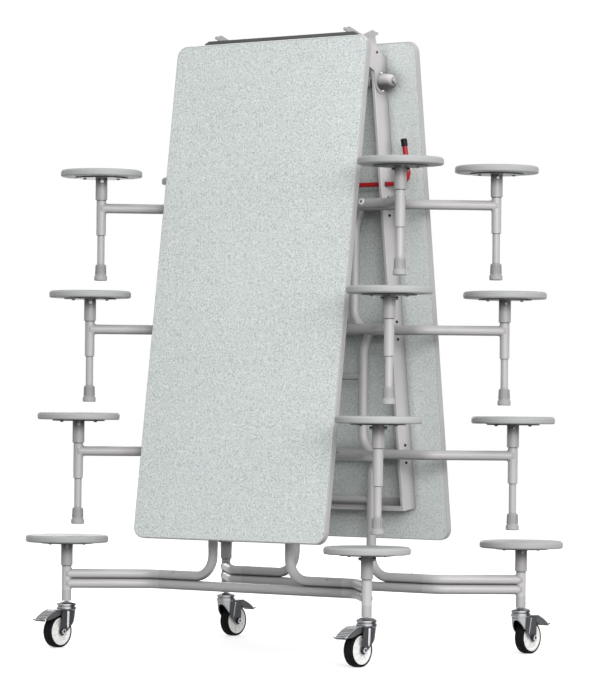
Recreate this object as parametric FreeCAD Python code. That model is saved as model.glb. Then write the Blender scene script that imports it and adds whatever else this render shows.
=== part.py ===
import FreeCAD, Part
import math
import os

os.makedirs("parts", exist_ok=True)
V = FreeCAD.Vector

# All sizes are millimetres. X is the width, Y the depth (front half at -Y), Z up, floor at Z = 0.

# table top halves
top_length = 1530.0
top_width = 750.0
board_thick = 20.0
band_thick = 3.0
band_round = 2.5
corner_radius = 36.0
fold_tilt = 7.17
top_foot_y = 316.0
top_foot_z = 342.8
meet_gap = 6.0

# underframe rails, as channels open toward the middle
rail_x = 258.0
rail_wall = 3.0
rail_lip = 10.0
rail_depth = 63.0
rail_start = 98.0
rail_after = 76.0
brace_flange = 15.0
brace_foot = 30.0
brace_hole_d = 11.0
brace_hole_x = 149.0
web_bolt_d = 7.0
web_bolt_step = 27.0
damper_d = 38.0
damper_reach = 30.0
damper_flange_d = 43.0
damper_stud_d = 14.0
damper_stud = 12.0

# stool rows along each half
row_count = 4
row_pitch = (top_length - meet_gap) / row_count
first_pivot = 271.0
pivot_depth = 54.0
journal_d = 16.0
journal_head_d = 22.0
running_fit = 0.08
hinge_pin_d = 12.0

# bent tube frames
tube_d = 30.0
shaft_d = 32.0
shaft_half = 231.0
leg_x = 151.0
arm_y = 199.0
arm_drop = 97.0
lower_tube_drop = 29.5
leg_bend = 66.0
leg_lean = 62.0
lean_bend = 45.0
arm_bend = 60.0
cross_tube_d = 22.0
cross_tube_z = 464.0

# stool columns
column_x = 587.5
column_y = 381.5
column_d = 30.0
column_base = 142.0
column_drop = 31.0
sleeve_d = 37.0
sleeve_drop = 71.0
seat_d = 254.0
stack_gap = 33.6
seat_thick = 22.0
seat_round = 9.0
seat_under_round = 6.0
seat_plate_d = 162.0
seat_plate_thick = 4.0
slip_fit = 0.1
inner_tube_d = 23.0
foot_clear = 0.6
foot_length = 49.5
foot_floor = 12.0
foot_top_d = 31.0
foot_step_d = 34.0
foot_base_d = 40.0
foot_step = 16.5
clamp_drop = 13.0
clamp_bolt_d = 11.0
clamp_bolt_head = 7.0
clamp_nut_d = 9.0
plate_screw_d = 12.0
plate_screw_h = 4.5
plate_screw_r = 52.0
arm_bolt_d = 10.0
arm_bolt_x = 303.0

# folding linkage
crank_radius = 22.0
crank_x = 235.0
crank_thick = 4.0
link_x = 240.0
link_thick = 5.0
link_half = 5.0
link_eye = 7.5
link_pin_d = 8.0
link_knee_drop = 60.0
ear_thick = 4.0
ear_boss = 17.0
ear_root = 15.0
ear_clear = 8.0
ear_neck = 8.0
ear_arm = 13.5
ear_lobe = 5.0
ear_lobe_reach = 21.0
ear_rise = 26.0
ear_front = 58.0
ear_rear = 79.0
ear_bolt_d = 7.0
ear_bolt_rise = 15.0

# casters
wheel_d = 100.0
wheel_width = 32.0
hub_d = 84.0
trail = 39.0
fork_plate = 3.0
fork_low = 36.0
fork_low_half = 19.6
fork_top = 118.0
fork_top_half = 28.6
fork_roof = 4.0
axle_d = 10.0
stem_d = 12.0
stem_depth = 44.0
race_d = 60.0
pedal_pivot_y = 34.0
pedal_pivot_z = 106.0
pedal_pin_d = 6.0
pedal_reach = 133.0
pedal_sheet = 4.0
pedal_wall = 2.6
tyre_gap = 1.4
hub_gap = 0.5

# lock lever
lever_d = 15.0
lever_rise = 69.0
lever_depth = 60.0
lever_x = 349.0
lever_lean = 7.0
lever_height = 134.0
lever_bend = 38.0
lever_tip_d = 19.5
lever_tip_length = 20.0
lever_tip_round = 4.0
cam_x = 60.0
cam_reach = 26.0
cam_round = 9.0

# dark meeting strip
strip_half = 302.0
strip_thick = 6.0
strip_depth = 40.5
strip_reach = 19.5
strip_length = 52.0
strip_corner = 16.0
strip_corner_drop = 8.0

tilt = math.radians(fold_tilt)
row_rise = row_pitch * math.cos(tilt)
row_shift = row_pitch * math.sin(tilt)
seat_base = row_rise + foot_clear - seat_thick - stack_gap
column_top = seat_base - column_drop
sleeve_base = seat_base - sleeve_drop
clamp_bolt_z = seat_base - clamp_drop
arm_z = seat_base - arm_drop
pivot_y = top_foot_y - first_pivot * math.sin(tilt) - pivot_depth * math.cos(tilt)
pivot_z = top_foot_z + first_pivot * math.cos(tilt) - pivot_depth * math.sin(tilt)
hinge_along = top_length + meet_gap / 2
hinge_depth = (top_foot_y - hinge_along * math.sin(tilt)) / math.cos(tilt)
crank_step = crank_radius / math.sqrt(2.0)
last_pivot = first_pivot + row_pitch * (row_count - 1)
rail_end = last_pivot + rail_after
link_knee = top_length - link_knee_drop
lever_along = last_pivot - row_pitch + lever_rise
rail_floor = board_thick
rail_face = board_thick + rail_depth
arm_corner_x = column_x - (column_y - arm_y)
slant = math.sqrt(0.5)


def rod(a, b, d):
    return Part.makeCylinder(d / 2, (b - a).Length, a, b - a)


def box(x0, x1, y0, y1, z0, z1):
    return Part.makeBox(x1 - x0, y1 - y0, z1 - z0, V(x0, y0, z0))


def fuse(pieces):
    return pieces[0].multiFuse(pieces[1:]).removeSplitter()


def unit(v):
    return V(v) * (1.0 / v.Length)


def bent_tube(points, radii, d):
    pieces = []
    start = points[0]
    for i in range(1, len(points) - 1):
        into = unit(points[i] - points[i - 1])
        away = unit(points[i + 1] - points[i])
        turn = into.getAngle(away)
        back = radii[i - 1] * math.tan(turn / 2)
        a = points[i] - into * back
        axis = into.cross(away)
        centre = a + unit(axis.cross(into)) * radii[i - 1]
        pieces.append(rod(start, a, d))
        ring = Part.Face(Part.Wire(Part.makeCircle(d / 2, a, into)))
        pieces.append(ring.revolve(centre, axis, math.degrees(turn)))
        start = points[i] + away * back
    pieces.append(rod(start, points[-1], d))
    return fuse(pieces)


def strap(a, b, r, x0, x1):
    # flat bar with round ends in the Y-Z plane, between two X planes
    pieces = [rod(V(x0, p[0], p[1]), V(x1, p[0], p[1]), 2 * r) for p in (a, b)]
    along = unit(V(0, b[0] - a[0], b[1] - a[1]))
    side = V(1, 0, 0).cross(along) * r
    p, q = V(x0, a[0], a[1]), V(x0, b[0], b[1])
    corners = [p + side, q + side, q - side, p - side, p + side]
    face = Part.Face(Part.makePolygon(corners))
    pieces.append(face.extrude(V(x1 - x0, 0, 0)))
    return fuse(pieces)


def plate(points, x0, x1):
    corners = [V(x0, y, z) for y, z in points + points[:1]]
    return Part.Face(Part.makePolygon(corners)).extrude(V(x1 - x0, 0, 0))


def sheet_arc(points, centre_side, thick, x0, x1):
    # curved sheet across X from three points of its outer face in the Y-Z plane
    outer = [V(x0, y, z) for y, z in points]
    inner = [p + V(0, centre_side[0], centre_side[1]) * thick for p in outer]
    sides = [Part.Arc(*outer).toShape(), Part.makeLine(outer[2], inner[2])]
    sides += [Part.Arc(*inner).toShape(), Part.makeLine(inner[0], outer[0])]
    return Part.Face(Part.Wire(sides)).extrude(V(x1 - x0, 0, 0))


def turned(profile):
    # solid of revolution about Z from (radius, height) points
    corners = [V(r, 0, z) for r, z in profile + profile[:1]]
    return Part.Face(Part.makePolygon(corners)).revolve(V(0, 0, 0), V(0, 0, 1), 360)


def mirrored(shape):
    return shape.mirror(V(0, 0, 0), V(1, 0, 0))


def both(shape):
    return [shape, mirrored(shape)]


def moved(shape, x, y, z):
    s = shape.copy()
    s.translate(V(x, y, z))
    return s


def turned_round(shape):
    s = shape.copy()
    s.rotate(V(0, 0, 0), V(0, 0, 1), 180)
    return s


def on_half(shape, half):
    # from the half's own axes (X, depth under the laminate, length up the half) to the folded pose
    s = shape.copy()
    s.rotate(V(0, 0, 0), V(1, 0, 0), -fold_tilt)
    s.translate(V(0, -top_foot_y, top_foot_z))
    return s if half == "front" else turned_round(s)


def on_row(shape, half, row):
    # from the front base row to any row of either half; row 4 stands on the casters
    k = row_count - row
    s = shape if half == "front" else turned_round(shape)
    toward = 1 if half == "front" else -1
    return moved(s, 0, toward * row_shift * k, row_rise * k)


def save(name, shapes):
    shape = shapes[0] if len(shapes) == 1 else Part.makeCompound(shapes)
    shape.exportStep("parts/" + name + ".step")


# table top boards with a separate edge band
def top_outline(inset):
    w = top_width / 2 - inset
    slab = box(-w, w, 0, board_thick, inset, top_length - inset)
    edges = [e for e in slab.Edges if abs(e.tangentAt(e.FirstParameter).y) > 0.99]
    return slab.makeFillet(corner_radius - inset, edges)


def rounded_outline():
    slab = top_outline(0.0)
    rims = [e for e in slab.Edges if e.BoundBox.YLength < 0.01]
    return slab.makeFillet(band_round, rims)


board = top_outline(band_thick)
band = rounded_outline().cut(board)


# rails, cross braces and hinge ears of one half
def pivot_along(row):
    return first_pivot + row_pitch * (row_count - row)


def across(x0, x1, depth, along, d):
    # round bar along X at a depth and a length of the half
    return rod(V(x0, depth, along), V(x1, depth, along), d)


def channel():
    web = box(rail_x - rail_wall, rail_x, rail_floor, rail_face, rail_start, rail_end)
    lips = [
        box(rail_x - rail_lip, rail_x, y, y + rail_wall, rail_start, rail_end)
        for y in (rail_floor, rail_face - rail_wall)
    ]
    rail = fuse([web] + lips)
    bends = [
        e for e in rail.Edges
        if e.BoundBox.ZLength > row_pitch and abs(e.BoundBox.XMax - rail_x) < 0.01
    ]
    rail = rail.makeFillet(rail_wall * 0.8, bends)
    for row in range(1, row_count + 1):
        along = pivot_along(row)
        rail = rail.cut(across(rail_x - 20, rail_x + 20, pivot_depth, along, journal_d + 2 * running_fit))
    return rail


def damper(side):
    along = pivot_along(1)
    cup = fuse([
        across(rail_x, rail_x + damper_reach, pivot_depth, along, damper_d),
        across(rail_x, rail_x + ear_thick, pivot_depth, along, damper_flange_d),
        across(rail_x, rail_x + damper_reach + damper_stud, pivot_depth, along, damper_stud_d),
    ])
    cup = cup.cut(across(rail_x - 9, rail_x + 12, pivot_depth, along, journal_head_d + 3))
    return cup if side > 0 else mirrored(cup)


def brace():
    x = rail_x - rail_wall
    top = rail_start + brace_foot
    foot = box(-x, x, rail_floor, rail_floor + rail_wall, rail_start, top)
    wall = box(-x, x, rail_floor, rail_face, rail_start, rail_start + rail_wall)
    flange = box(-x, x, rail_face - rail_wall, rail_face, rail_start, rail_start + brace_flange)
    shape = fuse([foot, wall, flange])
    for rail in both(channel()):
        shape = shape.cut(rail)
    for x in (-brace_hole_x, brace_hole_x):
        at = V(x, rail_floor - 1, rail_start + brace_foot / 3)
        shape = shape.cut(rod(at, at + V(0, rail_wall + 2, 0), brace_hole_d))
    return shape


def ear_bend(crown_depth):
    return (pivot_depth + crown_depth) / 2, rail_end + ear_bolt_rise


def ear(x0, crown_depth):
    # T-shaped plate: root on the rail web, neck, arm to the hinge pin and a small lobe the other way
    x1 = x0 + ear_thick
    root = (pivot_depth, last_pivot + web_bolt_step + ear_root + ear_clear)
    bend = ear_bend(crown_depth)
    crown = (crown_depth, hinge_along + ear_rise)
    arm_end = (hinge_depth + 4, hinge_along + ear_rise / 2)
    tip = (crown_depth - ear_lobe_reach, crown[1] + 2)
    shape = fuse([
        strap(root, bend, ear_root, x0, x1),
        strap(bend, crown, ear_neck, x0, x1),
        strap(arm_end, crown, ear_arm, x0, x1),
        strap((crown_depth, tip[1] + 2), tip, ear_lobe, x0, x1),
        across(x0, x1, hinge_depth, hinge_along, 2 * ear_boss),
    ])
    return shape.cut(across(x0 - 5, x1 + 5, hinge_depth, hinge_along, hinge_pin_d + 2 * running_fit))


def half_frame(ear_in, damper_side):
    x0 = rail_x - rail_wall - ear_thick if ear_in else rail_x
    ears = both(ear(x0, ear_front if ear_in else ear_rear))
    return both(channel()) + [brace()] + ears + [damper(damper_side)]


lever_bore = rod(
    V(-top_width, lever_depth, lever_along), V(top_width, lever_depth, lever_along), lever_d + 2 * running_fit
)
front_rails = half_frame(True, -1)
rear_rails = [s.cut(lever_bore) for s in half_frame(False, -1)]


# bolts and pins of one half
def bolt_head(x, outward, depth, along, d, h):
    return rod(V(x, depth, along), V(x + outward * h, depth, along), d)


def half_bolts(ear_in):
    heads = []
    for row in range(1, row_count + 1):
        for step in (-web_bolt_step, web_bolt_step):
            along = pivot_along(row) + step
            heads.append(bolt_head(rail_x, 1, pivot_depth, along, web_bolt_d, web_bolt_d * 0.28))
    ear_face = rail_x - rail_wall - ear_thick if ear_in else rail_x + ear_thick
    depth, along = ear_bend(ear_front if ear_in else ear_rear)
    heads.append(bolt_head(ear_face, -1 if ear_in else 1, depth, along, ear_bolt_d, ear_bolt_d * 0.4))
    if ear_in:
        x0, x1 = crank_x - 2, rail_x + ear_thick + 4
        heads.append(across(x0, x1, hinge_depth, hinge_along, hinge_pin_d))
        heads.append(across(x1, x1 + 4, hinge_depth, hinge_along, hinge_pin_d + 8))
    return heads


def joined_bolts(ear_in):
    heads = half_bolts(ear_in)
    if ear_in:
        heads = heads[:-2] + [fuse(heads[-2:])]
    return [s for h in heads for s in both(h)]


front_bolts = joined_bolts(True)
rear_bolts = joined_bolts(False)

# dark strip between the front ears, which closes the gap under the joint when the table is open
def meeting_strip():
    top = hinge_along + strip_reach
    half = strip_half
    points = [
        (-half, top - strip_length), (half, top - strip_length), (half, top - strip_corner_drop),
        (half - strip_corner, top), (strip_corner - half, top), (-half, top - strip_corner_drop),
    ]
    corners = [V(x, strip_depth, along) for x, along in points + points[:1]]
    shape = Part.Face(Part.makePolygon(corners)).extrude(V(0, strip_thick, 0))
    for plate_of_ear in both(ear(rail_x - rail_wall - ear_thick, ear_front)):
        shape = shape.cut(plate_of_ear)
    return shape


strip = meeting_strip()


# stool frames, drawn for the front base row
def stool_frame(with_base):
    leg_top = V(leg_x, -pivot_y, pivot_z)
    lean = V(leg_x, -arm_y, pivot_z - leg_lean)
    elbow = V(leg_x, -arm_y, arm_z)
    corner = V(arm_corner_x, -arm_y, arm_z)
    end = V(column_x, -column_y, arm_z)
    side = bent_tube([leg_top, lean, elbow, corner, end], [lean_bend, leg_bend, arm_bend], tube_d)
    column = rod(V(column_x, -column_y, column_base), V(column_x, -column_y, column_top), column_d)
    if not with_base:
        inner_end = V(column_x, -column_y, foot_clear + foot_floor)
        column = column.fuse(rod(V(column_x, -column_y, column_base), inner_end, inner_tube_d))
    pieces = both(side) + both(column)
    pieces.append(rod(V(-leg_x, -arm_y, cross_tube_z), V(leg_x, -arm_y, cross_tube_z), cross_tube_d))
    pieces.append(rod(V(-shaft_half, -pivot_y, pivot_z), V(shaft_half, -pivot_y, pivot_z), shaft_d))
    journal = rod(V(shaft_half, -pivot_y, pivot_z), V(rail_x + 5, -pivot_y, pivot_z), journal_d)
    head_at = V(rail_x + 1, -pivot_y, pivot_z)
    journal_head = rod(head_at, head_at + V(4, 0, 0), journal_head_d)
    pin_y, pin_z = -pivot_y - crank_step, pivot_z + crank_step
    crank = strap((-pivot_y, pivot_z), (pin_y, pin_z), 11, crank_x, crank_x + crank_thick)
    pin = rod(V(crank_x, pin_y, pin_z), V(link_x + link_thick + 0.8, pin_y, pin_z), link_pin_d)
    arm_at = V(arm_bolt_x, -arm_y, arm_z)
    outward = V(0, -slant, slant) * (tube_d / 2)
    arm_bolt = rod(arm_at + outward * 0.8, arm_at + outward * 1.16, arm_bolt_d)
    for piece in (journal, journal_head, crank, pin, arm_bolt):
        pieces += both(piece)
    if with_base:
        low = arm_z - lower_tube_drop
        right = [V(arm_corner_x, -arm_y, low), V(column_x, -column_y, low)]
        left = [V(-p.x, p.y, p.z) for p in reversed(right)]
        pieces.append(bent_tube(left + right, [arm_bend, arm_bend], tube_d))
    frame = fuse(pieces)
    if with_base:
        for x in (-column_x, column_x):
            socket = rod(
                V(x, -column_y, 0), V(x, -column_y, column_base + stem_depth), stem_d + 2 * running_fit
            )
            frame = frame.cut(socket)
    return frame


# one stool's parts at the origin of its column
def seat():
    disc = Part.makeCylinder(seat_d / 2, seat_thick, V(0, 0, seat_base))
    rims = [e for e in disc.Edges if e.BoundBox.ZLength < 0.01 and e.BoundBox.ZMin > seat_base + 1]
    disc = disc.makeFillet(seat_round, rims)
    rims = [e for e in disc.Edges if e.BoundBox.ZLength < 0.01 and e.BoundBox.ZMin < seat_base + 1]
    return disc.makeFillet(seat_under_round, rims)


def post():
    body = turned([
        (column_d / 2 + slip_fit, sleeve_base),
        (sleeve_d / 2, sleeve_base),
        (sleeve_d / 2, seat_base - seat_plate_thick),
        (seat_plate_d / 2, seat_base - seat_plate_thick),
        (seat_plate_d / 2, seat_base),
        (0, seat_base),
        (0, column_top + slip_fit),
        (column_d / 2 + slip_fit, column_top + slip_fit),
    ])
    return body


def post_with_bolt(side):
    # the clamp bolt crosses the sleeve square to the slanting end of the arm
    across_arm = V(slant, side * slant, 0)
    at = V(0, 0, clamp_bolt_z)
    wall = sleeve_d / 2
    head = rod(at, at + across_arm * (wall + clamp_bolt_head), clamp_bolt_d)
    tail = rod(at, at - across_arm * (wall + clamp_bolt_head), clamp_nut_d)
    under = seat_base - seat_plate_thick
    screws = []
    for x, y in ((1, 1), (1, -1), (-1, 1), (-1, -1)):
        spot = V(x * slant * plate_screw_r, y * slant * plate_screw_r, under + 0.5)
        screws.append(Part.makeCone(plate_screw_d / 2, plate_screw_d / 3, plate_screw_h, spot, V(0, 0, -1)))
    return fuse([post(), head, tail] + screws)


def foot():
    z0, z1 = foot_clear, foot_clear + foot_length
    bore_r = inner_tube_d / 2 + slip_fit
    return turned([
        (0, z0),
        (foot_base_d / 2 - 2, z0),
        (foot_base_d / 2, z0 + 2),
        (foot_base_d / 2, z0 + foot_step - 3),
        (foot_step_d / 2, z0 + foot_step),
        (foot_top_d / 2, z1),
        (bore_r, z1),
        (bore_r, z0 + foot_floor - slip_fit),
        (0, z0 + foot_floor - slip_fit),
    ])


def stool_pair(shape_right, shape_left):
    return [moved(shape_right, column_x, -column_y, 0), moved(shape_left, -column_x, -column_y, 0)]


base_frame = stool_frame(True)
row_frame = stool_frame(False)
seats = stool_pair(seat(), seat())
posts = stool_pair(post_with_bolt(1), post_with_bolt(-1))
feet = stool_pair(foot(), foot())

for half in ("front", "rear"):
    save(half + "_base_frame", [on_row(base_frame, half, 4)])
    save(half + "_base_seats", [on_row(s, half, 4) for s in seats])
    save(half + "_base_posts", [on_row(s, half, 4) for s in posts])
    for row in (1, 2, 3):
        name = half + "_row" + str(row)
        save(name + "_frame", [on_row(row_frame, half, row)])
        save(name + "_seats", [on_row(s, half, row) for s in seats])
        save(name + "_posts", [on_row(s, half, row) for s in posts])
        save(name + "_feet", [on_row(s, half, row) for s in feet])
    save(half + "_top_board", [on_half(board, half)])
    save(half + "_top_band", [on_half(band, half)])

save("front_rails", [on_half(s, "front") for s in front_rails])
save("rear_rails", [on_half(s, "rear") for s in rear_rails])
save("front_bolts", [on_half(s, "front") for s in front_bolts])
save("rear_bolts", [on_half(s, "rear") for s in rear_bolts])
save("meeting_strip", [on_half(strip, "front")])


# link bars that keep every stool frame upright, and the yokes that tie both halves together
def link_bar():
    down = -crank_step * math.cos(tilt) - crank_step * math.sin(tilt)
    up = -crank_step * math.sin(tilt) + crank_step * math.cos(tilt)
    x0, x1 = link_x, link_x + link_thick
    pins = [(pivot_depth + down, pivot_along(row) + up) for row in range(1, row_count + 1)]
    pins.append((hinge_depth + down, hinge_along + up))
    knee = (pivot_depth + down, link_knee)
    pieces = [strap(pins[3], knee, link_half, x0, x1), strap(knee, pins[4], link_half, x0, x1)]
    for y, z in pins:
        pieces.append(rod(V(x0, y, z), V(x1, y, z), 2 * link_eye))
    bar = fuse(pieces)
    for y, z in pins:
        bar = bar.cut(rod(V(x0 - 5, y, z), V(x1 + 5, y, z), link_pin_d + 2 * running_fit))
    return bar


links = both(link_bar())
for half in ("front", "rear"):
    save(half + "_link_bars", [on_half(s, half) for s in links])

hinge_z = top_foot_z + hinge_along * math.cos(tilt) - hinge_depth * math.sin(tilt)


def yoke():
    x0, x1 = crank_x, crank_x + crank_thick
    sides = [(-crank_step, hinge_z + crank_step), (crank_step, hinge_z + crank_step)]
    pieces = [strap((0, hinge_z), p, 11, x0, x1) for p in sides]
    pieces.append(strap(sides[0], sides[1], 11, x0, x1))
    shape = fuse(pieces)
    bore = rod(V(x0 - 5, 0, hinge_z), V(x1 + 5, 0, hinge_z), hinge_pin_d + 2 * running_fit)
    shape = shape.cut(bore)
    pins = [rod(V(x0, y, z), V(link_x + link_thick + 0.8, y, z), link_pin_d) for y, z in sides]
    return fuse([shape] + pins)


save("hinge_yokes", both(yoke()))


# lock lever: a bar across the rear rails with one end turned up as the handle
def lever_bar():
    top = V(lever_lean - lever_x, lever_depth + 6, lever_along + lever_height)
    path = [V(rail_x + 14, lever_depth, lever_along), V(-lever_x, lever_depth, lever_along), top]
    bar = bent_tube(path, [lever_bend], lever_d)
    along = unit(top - path[1])
    cams = []
    cam_tip = (lever_depth + 4, lever_along + cam_reach)
    for x in (-cam_x, cam_x):
        cams.append(strap((lever_depth, lever_along), cam_tip, cam_round, x - 2, x + 2))
    grip = rod(top - along * lever_tip_length, top + along * 3, lever_tip_d)
    rim = max(grip.Edges, key=lambda e: e.CenterOfMass.z)
    grip = grip.makeFillet(lever_tip_round, [rim])
    bar = bar.cut(rod(top - along * lever_tip_length, top + along * 3, lever_tip_d + 5))
    return fuse([bar] + cams), grip


bar, grip = lever_bar()
save("lever_bar", [on_half(bar, "rear")])
save("lever_grip", [on_half(grip, "rear")])


# casters, drawn with the swivel axis on Z and the wheel trailing toward -Y
def fork_half(z):
    # half width over the cheeks, which close in from the crown down to the axle
    return fork_low_half + (fork_top_half - fork_low_half) * (z - fork_low) / (fork_top - fork_low)


def fork_plan(z, inset):
    # plan of the fork at one height: straight cheeks behind the swivel axis and a half-round front
    r = fork_half(z) - inset
    left, right = V(-r, 0, z), V(r, 0, z)
    ends = [V(r, -wheel_d, z), V(-r, -wheel_d, z)]
    sides = [Part.Arc(left, V(0, r, z), right).toShape()]
    sides += [Part.makeLine(p, q) for p, q in zip([right] + ends, ends + [left])]
    return Part.Wire(sides)


def caster_fork():
    axle_y, axle_z = -trail, wheel_d / 2
    stem = rod(V(0, 0, 130), V(0, 0, column_base + stem_depth - 3), stem_d)
    r = race_d / 2
    turned_top = turned([
        (0, fork_top - fork_roof), (r - 2, fork_top - fork_roof), (r, fork_top - 2), (r, 124), (r - 3, 125.5),
        (r - 3, 127.5), (r - 0.5, 128.5), (r - 0.5, 133), (r - 4, 137), (17, column_base - 1.5),
        (0, column_base - 1.5),
    ])
    outline = [
        (r + 1, fork_top), (r + 1, 111.5), (24, 104), (17.5, 92), (8, 77), (-2, 66), (-14, 54), (-26, 43),
        (-33, 37.5), (-42, 36.5), (-50, 42), (-53, 52), (-50, 80), (-44, fork_top),
    ]
    outer = Part.makeLoft([fork_plan(fork_low, 0), fork_plan(fork_top, 0)], True, True)
    roof = fork_top - fork_roof
    hollow = Part.makeLoft([fork_plan(fork_low - 4, fork_plate), fork_plan(roof, fork_plate)], True, True)
    x = fork_half(roof) - fork_plate - 0.8
    pedal_slot = box(-x, x, -wheel_d, -r + 4, roof - 3, column_base)
    shell = plate(outline, -r - 5, r + 5).common(outer).cut(hollow).cut(pedal_slot)
    pieces = [stem, turned_top, shell]
    pieces.append(rod(V(-fork_half(axle_z), axle_y, axle_z), V(fork_half(axle_z), axle_y, axle_z), axle_d))
    pin = V(fork_half(pedal_pivot_z) - 1, -pedal_pivot_y, pedal_pivot_z)
    pieces.append(rod(V(-pin.x, pin.y, pin.z), pin, pedal_pin_d))
    for side in (-1, 1):
        at = V(side * (fork_half(axle_z) - 1), axle_y, axle_z)
        pieces.append(rod(at, at + V(side * 5, 0, 0), 17))
        pieces.append(rod(at, at + V(side * 9, 0, 0), axle_d))
    return fuse(pieces)


def caster_wheel():
    w = wheel_width / 2
    rim = hub_d / 2
    tread = wheel_d / 2
    bore = axle_d / 2 + running_fit
    boss = fork_low_half - fork_plate - hub_gap
    half_hub = [(bore, boss), (15, boss), (15, w - 3), (rim - 8, w - 4), (rim - 5, w - 1), (rim, w - 1)]
    half_tyre = [(rim, w - 1), (tread - 5, w), (tread - 1.5, w - 4), (tread, w - 10)]
    shapes = []
    for side in (half_hub, half_tyre):
        s = turned([(r, -z) for r, z in side] + side[::-1])
        s.rotate(V(0, 0, 0), V(0, 1, 0), 90)
        shapes.append(moved(s, 0, -trail, wheel_d / 2))
    return shapes


def caster_pedal():
    # a ridged hood over the back of the wheel, with a foot plate at its end
    half = fork_half(pedal_pivot_z - 6) - fork_plate - 1.2
    hood_half = wheel_width / 2 + 1.8
    inside = wheel_width / 2 + tyre_gap
    outside = inside + pedal_wall
    toward = (0.4, -0.917)
    crest, middle, end = (-62, 117), (-93, 105), (-120, 86.5)
    neck = strap((-pedal_pivot_y, pedal_pivot_z + 4), (-48, 115.5), 3, -half, half)
    bridge = strap((-48, 115.5), (-64, 114.5), 2.5, -half, half)
    hood = sheet_arc([crest, middle, end], toward, pedal_sheet, -outside, outside)
    side_wall = plate(
        [(-46, 114), (-64, 114), (-93, 103), (-117, 86.5), (-92, 87), (-70, 94), (-46, 101)], inside, outside
    )
    lip = strap((-118, 86), (-pedal_reach, 88.5), 2, 3 - hood_half, hood_half - 3)
    pieces = [neck, bridge, hood, lip] + both(side_wall)
    for y, z in ((-80, 111.2), (-87, 108.2), (-94, 104.8), (-101, 100.9), (-108, 96.4), (-114, 91.9)):
        pieces.append(rod(V(-outside, y, z), V(outside, y, z), 3.2))
    barrel = rod(V(-half, -pedal_pivot_y, pedal_pivot_z), V(half, -pedal_pivot_y, pedal_pivot_z), 11)
    pin = rod(
        V(-half - 1, -pedal_pivot_y, pedal_pivot_z), V(half + 1, -pedal_pivot_y, pedal_pivot_z),
        pedal_pin_d + 2 * running_fit,
    )
    return fuse(pieces + [barrel]).cut(pin)


fork = caster_fork()
hub, tyre = caster_wheel()
pedal = caster_pedal()
for half, turn in (("front", False), ("rear", True)):
    for side, sign in (("left", -1), ("right", 1)):
        name = half + "_" + side + "_caster_"
        y = column_y if turn else -column_y
        for part, shape in (("fork", fork), ("hub", hub), ("tyre", tyre), ("pedal", pedal)):
            s = turned_round(shape) if turn else shape
            save(name + part, [moved(s, sign * column_x, y, 0)])
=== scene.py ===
import math
import bpy
import bmesh
from mathutils import Matrix, Vector


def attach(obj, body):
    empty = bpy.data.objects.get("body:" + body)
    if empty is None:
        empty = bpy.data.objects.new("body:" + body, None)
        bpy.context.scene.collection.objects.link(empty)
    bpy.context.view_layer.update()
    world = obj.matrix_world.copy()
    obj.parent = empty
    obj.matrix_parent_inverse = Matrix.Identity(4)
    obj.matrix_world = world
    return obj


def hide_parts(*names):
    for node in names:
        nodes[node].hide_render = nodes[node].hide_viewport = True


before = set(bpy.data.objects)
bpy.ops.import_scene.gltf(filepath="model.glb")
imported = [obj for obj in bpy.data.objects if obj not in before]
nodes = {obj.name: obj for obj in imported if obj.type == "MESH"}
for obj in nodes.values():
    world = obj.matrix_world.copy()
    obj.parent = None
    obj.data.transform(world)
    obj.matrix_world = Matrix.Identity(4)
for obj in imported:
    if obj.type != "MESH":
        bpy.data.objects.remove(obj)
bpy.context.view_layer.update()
print("frame loaded:", len(nodes), "nodes")

# camera solved from the photographed stool grid, for a 589 x 694 picture
cameraSetup = {
    "azimuth": 39.1,        # degrees round from the front
    "elevation": -0.85,     # a touch below level, looking slightly up
    "roll": 0.52,
    "distance": 11.383,     # metres
    "aimHeight": 0.9303,
    "aimRight": 0.0003,
    "lens": 192.36,
    "sensor": 36.0,         # the long side, in millimetres
    "clipEnd": 100.0,
}


def placeCamera(setup):
    az, el, roll = (math.radians(setup[k]) for k in ("azimuth", "elevation", "roll"))
    back = Vector((math.sin(az) * math.cos(el), -math.cos(az) * math.cos(el), math.sin(el)))
    right = Vector((math.cos(az), math.sin(az), 0.0))
    up = back.cross(right)
    sideways = right * math.cos(roll) + up * math.sin(roll)
    upright = up * math.cos(roll) - right * math.sin(roll)
    place = Vector((0, 0, setup["aimHeight"])) + right * setup["aimRight"] + back * setup["distance"]
    data = bpy.data.cameras.new("photoCamera")
    data.lens = setup["lens"]
    data.sensor_width = setup["sensor"]
    data.clip_end = setup["clipEnd"]
    camera = bpy.data.objects.new("photoCamera", data)
    bpy.context.collection.objects.link(camera)
    turn = Matrix((sideways, upright, back)).transposed().to_4x4()
    camera.matrix_world = Matrix.Translation(place) @ turn
    bpy.context.scene.camera = camera


placeCamera(cameraSetup)
bpy.context.scene.view_settings.view_transform = "Standard"
print("camera placed")


# small helpers for shader nodes
def feed(tree, socket, value):
    # a number or a colour is set on the socket, an output is linked to it
    if isinstance(value, (int, float, tuple)):
        socket.default_value = value
    else:
        tree.links.new(value, socket)


def mathNode(tree, kind, *values, clamp=False):
    node = tree.nodes.new("ShaderNodeMath")
    node.operation = kind
    node.use_clamp = clamp
    for socket, value in zip(node.inputs, values):
        feed(tree, socket, value)
    return node.outputs[0]


def rangeNode(tree, value, low, high, toLow=0.0, toHigh=1.0):
    node = tree.nodes.new("ShaderNodeMapRange")
    tree.links.new(value, node.inputs["Value"])
    ends = (("From Min", low), ("From Max", high), ("To Min", toLow), ("To Max", toHigh))
    for label, number in ends:
        node.inputs[label].default_value = number
    return node.outputs["Result"]


def noiseNode(tree, vector, scale, detail, rough):
    node = tree.nodes.new("ShaderNodeTexNoise")
    node.inputs["Detail"].default_value = detail
    node.inputs["Roughness"].default_value = rough
    tree.links.new(vector, node.inputs["Vector"])
    feed(tree, node.inputs["Scale"], scale)
    return node.outputs["Fac"]


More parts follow.
